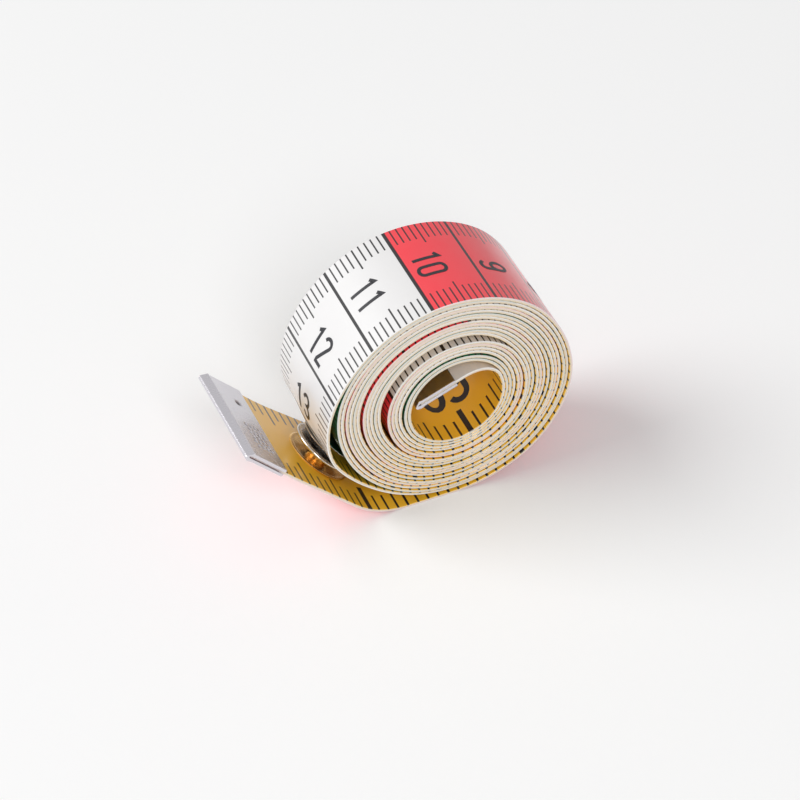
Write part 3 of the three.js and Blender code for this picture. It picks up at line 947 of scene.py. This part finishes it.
def end_clip(name, pivot, direction, nose, length, body, aside=0.0, twist=0.0, wear_and_painted_shade=0.0):
    """A folded clip at the end of the tape: its nose lies that far from the hinge, along the direction."""
    bm = bmesh.new()
    painted_shade = bm.verts.layers.float.new("painted_shade")
    ahead = way(direction)
    up = way(direction - 90)
    half = CLIP_WIDTH / 2
    stations = [-half, -half + 0.02, -half + 0.08] + list(np.arange(-half + 0.2, half - 0.12, CLIP_STEP))
    stations += [half - 0.08, half - 0.02, half]
    rings = []
    for y in stations:
        inset = EDGE_ROUNDING.get(round((half - abs(y)) * 100), 0.0)
        shut = 1 - 0.5 * ease(abs(y), half - 0.34, half - 0.12)
        layers = ([], [])
        for (x, h), (a, b) in clip_section(length):
            pressed = punched(x, y) if h == LEAF_OUT else 0.0
            for k, (u, v) in enumerate(((x, h - pressed), (a, shut * b - 0.2 * pressed))):
                other = (a, b) if k == 0 else (x, h)
                height = v + inset * (other[1] - v) - twist * y
                spot = pivot + (nose - u - inset * (other[0] - u)) * ahead + height * up
                vert = bm.verts.new(Vector((spot[0], y + aside, spot[1])) * MM)
                # Painted shade over the whole sheet by the given share, fading out at the side edges.
                painted_dark_share = wear_and_painted_shade * (1 - ease(abs(y), half - 0.25, half - 0.05))
                # Painted shade: the inside of the sheet and the punched places are painted darker.
                vert[painted_shade] = painted_dark_share + (0.05 if k == 1 else 4.0 * max(pressed, 0.0))
                layers[k].append(vert)
        rings.append(layers[0] + layers[1][::-1])
    for one, two in zip(rings, rings[1:]):
        skin(bm, one, two)
    for ring in (rings[0], rings[-1]):
        for i in range(len(ring) // 2 - 1):
            bm.faces.new((ring[i], ring[i + 1], ring[-2 - i], ring[-1 - i]))
    return finish_piece(name, bm, ALUMINIUM, body)


# %% The two end clips
outer_clip = end_clip("outer_clip", hinge["tip_flex"], TIP, OUTER_END, 7.5, "tail_tip", ASIDE, TWIST)
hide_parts("outer_end_clip")
# The inner clip is painted darker except at its side edges: painted shade for the dark core it lies in.
inner_clip = end_clip("inner_clip", hinge["core_bend_2"], CORE_CLIP, INNER_END, 6.5, "core_tip", wear_and_painted_shade=0.40)
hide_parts("inner_end_clip")

# %% [markdown]
# The four parts of the press stud are drawn in a press from round blanks. Each is a profile turned about an
# axis: a list of (radius, height above the cloth, painted shade), with the rolled edge, the groove under it
# and the small radii that catch the light. The third value paints shade into the metal. Use has bent the
# socket: its rim is no longer parallel to its flange, and bent says by how much for each millimetre. The stud
# sits where its body carries it, beyond the third hinge.

# %% Turned pieces
SOCKET = (SOCKET_SEAT, SOCKET_FACING, 0.0, 0.050)
STUD_REACH = 5.9
RAISED = 0.08
stud_seat = hinge["tail_bend_3"] + STUD_REACH * way(LIFT) + (TAPE_THICK / 2 + RAISED) * way(LIFT - 90)
STUD = (stud_seat, 48.0, TWIST, 0.0)


def on_seat(seat, radius, turned_by, height):
    """The point at that radius and angle about the seat's axis, and that height above the cloth."""
    middle, facing, lean, bent = seat
    across, reach = radius * math.sin(turned_by), radius * math.cos(turned_by)
    raised = height * (1 - bent * reach) - lean * across
    spot = middle + raised * way(facing) + reach * way(facing + 90)
    return Vector((spot[0], across + ASIDE, spot[1])) * MM


def turned(name, seat, profile, body, notches=None, closed=True, parts=112, material=NICKEL):
    """Turns a profile about the axis of the seat. notches moves a point by its number and angle."""
    bm = bmesh.new()
    painted_shade = bm.verts.layers.float.new("painted_shade")
    rings = []
    for k, (radius, height, shade_share) in enumerate(profile):
        ring = []
        for i in range(1 if radius == 0 else parts):
            turned_by = 2 * math.pi * i / parts
            r = radius + (notches(k, turned_by) if notches else 0.0)
            ring.append(bm.verts.new(on_seat(seat, r, turned_by, height)))
            ring[-1][painted_shade] = shade_share
        rings.append(ring)
    loops = list(zip(rings, rings[1:])) + ([(rings[-1], rings[0])] if closed else [])
    for one, two in loops:
        for i in range(parts):
            j = (i + 1) % parts
            corners = [one[i % len(one)], one[j % len(one)], two[j % len(two)], two[i % len(two)]]
            bm.faces.new(list(dict.fromkeys(corners)))
    return finish_piece(name, bm, material, body, sharp=50)


# %% [markdown]
# The socket's flange lies on the cloth, the neck above it is notched where the rim was crimped on, and the
# rim is rolled over at its edge. The bore is where the stud snaps in.

# %% The socket
# The third values paint shade: dark in the neck under the rim, in a line round the rim and inside the bore.
SOCKET_PROFILE = [
    (0.85, 0.02, 0.6), (4.30, 0.02, 0.6), (4.46, 0.04, 0.2), (4.52, 0.10, 0.0), (4.48, 0.17, 0.0),
    (4.36, 0.21, 0.0), (3.80, 0.23, 0.5), (3.58, 0.28, 1.0), (3.52, 0.36, 1.0), (3.52, 0.56, 1.0),
    (3.56, 0.66, 1.0), (3.66, 0.74, 0.8), (3.78, 0.79, 0.4), (3.92, 0.83, 0.3), (4.06, 0.86, 0.3),
    (4.25, 0.90, 0.2), (4.46, 0.94, 0.1), (4.57, 0.97, 0.0), (4.60, 1.00, 0.3), (4.57, 1.03, 0.9),
    (4.60, 1.06, 0.4), (4.70, 1.10, 0.0), (4.745, 1.17, 0.0), (4.75, 1.26, 0.0), (4.71, 1.37, 0.0),
    (4.62, 1.45, 0.0), (4.48, 1.49, 0.0), (4.30, 1.50, 0.0), (4.14, 1.47, 0.2), (4.04, 1.42, 0.5),
    (3.90, 1.41, 0.3), (3.00, 1.43, 0.1), (2.72, 1.47, 0.0), (2.52, 1.50, 0.0), (2.39, 1.47, 0.0),
    (2.31, 1.39, 0.1), (2.30, 1.28, 0.6), (2.36, 1.25, 0.9), (3.20, 1.23, 1.0), (3.30, 1.16, 1.0),
    (3.32, 1.00, 1.0), (3.32, 0.34, 1.0), (3.24, 0.27, 1.0), (0.85, 0.25, 0.9),
]


DENTS = 44
DENT_DEPTH = 0.20
DENTED = {10: 0.3, 11: 0.8, 12: 1.0, 13: 1.0, 14: 0.8, 15: 0.4}


def crimped(k, turned_by):
    """The dents that lock the rim on the neck, on the points of the profile that are listed as dented."""
    return -DENT_DEPTH * DENTED.get(k, 0.0) * max(0.0, math.cos(DENTS * turned_by)) ** 2


socket = turned("socket", SOCKET, SOCKET_PROFILE, "roll", notches=crimped, parts=8 * DENTS)
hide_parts("stud_socket")

# %% [markdown]
# A rivet's slightly domed cap lies on the far side of the cloth, and its post comes through to be spread in
# the bore.

# %% The two rivets
def rivet(name, seat, top, head, body):
    """The cap under the cloth, and the post up to its spread head at that height."""
    # The third values paint shade, darkest where the post leaves the cap.
    profile = [
        (0, -0.80, 0.0), (1.8, -0.81, 0.0), (3.0, -0.85, 0.0), (3.5, -0.86, 0.0), (3.76, -0.82, 0.0),
        (3.88, -0.74, 0.0), (3.89, -0.66, 0.0), (3.80, -0.58, 0.1), (3.6, -0.55, 0.4), (0.75, -0.53, 0.8),
        (0.75, top - 0.2, 0.6), (head - 0.06, top - 0.19, 0.4), (head, top - 0.11, 0.2),
        (head - 0.05, top - 0.03, 0.1), (head - 0.2, top, 0.1), (0.30, top - 0.05, 0.2), (0, top - 0.12, 0.3),
    ]
    return turned(name, seat, profile, body, closed=False)


socket_cap = rivet("socket_cap", SOCKET, 0.46, 1.2, "roll")
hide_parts("socket_rivet")
stud_cap = rivet("stud_cap", STUD, 0.745, 0.78, "tail_c")
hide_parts("stud_rivet")

# %% [markdown]
# The stud is one drawn shell: a disc with a rolled rim, a neck, and a ball head that is wider than the
# socket's spring. Its metal is painted gold, a painted reflection of the yellow tape that it also mirrors.

# %% The stud
# The third values paint shade on the underside, in the groove inside the rim, in the neck and inside the shell.
STUD_PROFILE = [
    (0.85, 0.02, 0.6), (4.70, 0.02, 0.6), (4.90, 0.03, 0.2), (5.01, 0.09, 0.0), (5.03, 0.17, 0.0),
    (4.97, 0.25, 0.0), (4.84, 0.28, 0.0), (4.66, 0.27, 0.3), (4.50, 0.23, 0.4), (4.20, 0.22, 0.1),
    (2.60, 0.23, 0.0), (2.00, 0.26, 0.0), (1.68, 0.33, 0.3), (1.50, 0.45, 0.6), (1.42, 0.60, 0.6),
    (1.40, 0.76, 0.4), (1.46, 0.88, 0.1), (1.58, 0.98, 0.0), (1.65, 1.09, 0.0), (1.65, 1.20, 0.0),
    (1.59, 1.32, 0.0), (1.46, 1.42, 0.0), (1.26, 1.48, 0.0), (0.98, 1.49, 0.0), (0.74, 1.46, 0.2),
    (0.65, 1.38, 0.5), (0.65, 1.28, 0.9), (0.85, 1.18, 0.9),
]
stud = turned("ball_stud", STUD, STUD_PROFILE, "tail_c", material=GOLD_PAINTED_REFLECTION)
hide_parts("stud")

# %% [markdown]
# The spring is a ring of wire with a gap, held under the top of the socket. Its two ends are bent outwards,
# so they can't catch on the stud.

# %% The socket's spring
def wire_ring(name, seat, height, radius, wire, gap, body):
    """An open ring of wire whose ends turn outwards."""
    bm = bmesh.new()
    painted_shade = bm.verts.layers.float.new("painted_shade")
    rings = []
    for share in np.linspace(0, 1, 97):
        turned_by = math.radians(gap / 2 + (360 - gap) * share)
        flare = 0.5 * (ease(share, 0.94, 1.0) + 1 - ease(share, 0.0, 0.06))
        thick = wire * (0.72 if share in (0, 1) else 1.0)
        ring = []
        for a in np.arange(12) * math.pi / 6:
            r = radius + flare + thick * math.cos(a)
            ring.append(bm.verts.new(on_seat(seat, r, turned_by, height + thick * math.sin(a))))
            ring[-1][painted_shade] = 0.2
        rings.append(ring)
    for one, two in zip(rings, rings[1:]):
        skin(bm, one, two)
    bm.faces.new(rings[0])
    bm.faces.new(rings[-1])
    return finish_piece(name, bm, SPRING, body)


spring = wire_ring("spring_ring", SOCKET, 1.02, 2.5, 0.18, 34, "roll")
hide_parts("socket_spring")

# %% [markdown]
# The set is a pale table under soft studio light. The camera sees the table through a paler coat than the
# one that lights the object, through Light Path, so the page is white and keeps the object's shadow. The key
# lamp is wide and low at the left: its place was found from the length and softness of that shadow. A weaker
# lamp near the camera fills the core and the edges, and hides its own shadow behind the roll. The pale
# glare on the red is the table itself, mirrored in the skin of the tape. Metal sees a brighter world.

# %% The table and the light
PAGE = 1.03
bm = bmesh.new()
bmesh.ops.create_grid(bm, x_segments=2, y_segments=2, size=3.0)
material, tree, shader = new_material("white_table")
shader.inputs["Base Color"].default_value = rgb(246, 245, 246)
shader.inputs["Roughness"].default_value = 0.6
path = tree.nodes.new("ShaderNodeLightPath")
page = tree.nodes.new("ShaderNodeBsdfDiffuse")
page.inputs["Color"].default_value = (PAGE, PAGE, PAGE, 1.0)
both = tree.nodes.new("ShaderNodeMixShader")
feed(tree, both.inputs[0], any_of(tree, path.outputs["Is Camera Ray"], path.outputs["Is Glossy Ray"]))
tree.links.new(shader.outputs[0], both.inputs[1])
tree.links.new(page.outputs[0], both.inputs[2])
tree.links.new(both.outputs[0], tree.nodes["Material Output"].inputs["Surface"])
top = smooth_object("table", bm, [material], 30)


def lamp(name, place_at, aim, size, power):
    light = bpy.data.lights.new(name, "AREA")
    light.shape = "DISK"
    light.size = size
    light.energy = power
    lamp_object = bpy.data.objects.new(name, light)
    bpy.context.scene.collection.objects.link(lamp_object)
    lamp_object.location = place_at
    lamp_object.visible_camera = False
    lamp_object.rotation_euler = (Vector(aim) - Vector(place_at)).to_track_quat("-Z", "Y").to_euler()


middle = (0, 0, 0.018)
lamp("key", (-1.41, 0.598, 1.30), middle, 1.48, 25.0)
lamp("fill", (-0.27, -1.30, 1.24), middle, 0.90, 12.0)
world = bpy.data.worlds.new("studio")
world.use_nodes = True
world.node_tree.nodes["Background"].inputs["Color"].default_value = (1.0, 1.0, 1.0, 1.0)
world_path = world.node_tree.nodes.new("ShaderNodeLightPath")
strength = calc(world.node_tree, "MULTIPLY_ADD", world_path.outputs["Is Glossy Ray"], 0.38, 0.30)
strength = calc(world.node_tree, "MAXIMUM", strength, world_path.outputs["Is Camera Ray"])
world.node_tree.links.new(strength, world.node_tree.nodes["Background"].inputs["Strength"])
bpy.context.scene.world = world

# %% [markdown]
# The camera stands where the photograph was taken from: its place and lens were found by laying the printed
# centimetre marks of the model over those of the photograph.

# %% The camera
lens = bpy.data.cameras.new("camera")
lens.lens = 110.34
lens.sensor_width = 36
lens.clip_start = 0.01
camera = bpy.data.objects.new("camera", lens)
bpy.context.scene.collection.objects.link(camera)
camera.location = (-0.1045, -0.2326, 0.2583)
camera.rotation_euler = (math.radians(45.87), 0, math.radians(-23.35))
bpy.context.scene.camera = camera
bpy.context.scene.view_settings.view_transform = "Standard"
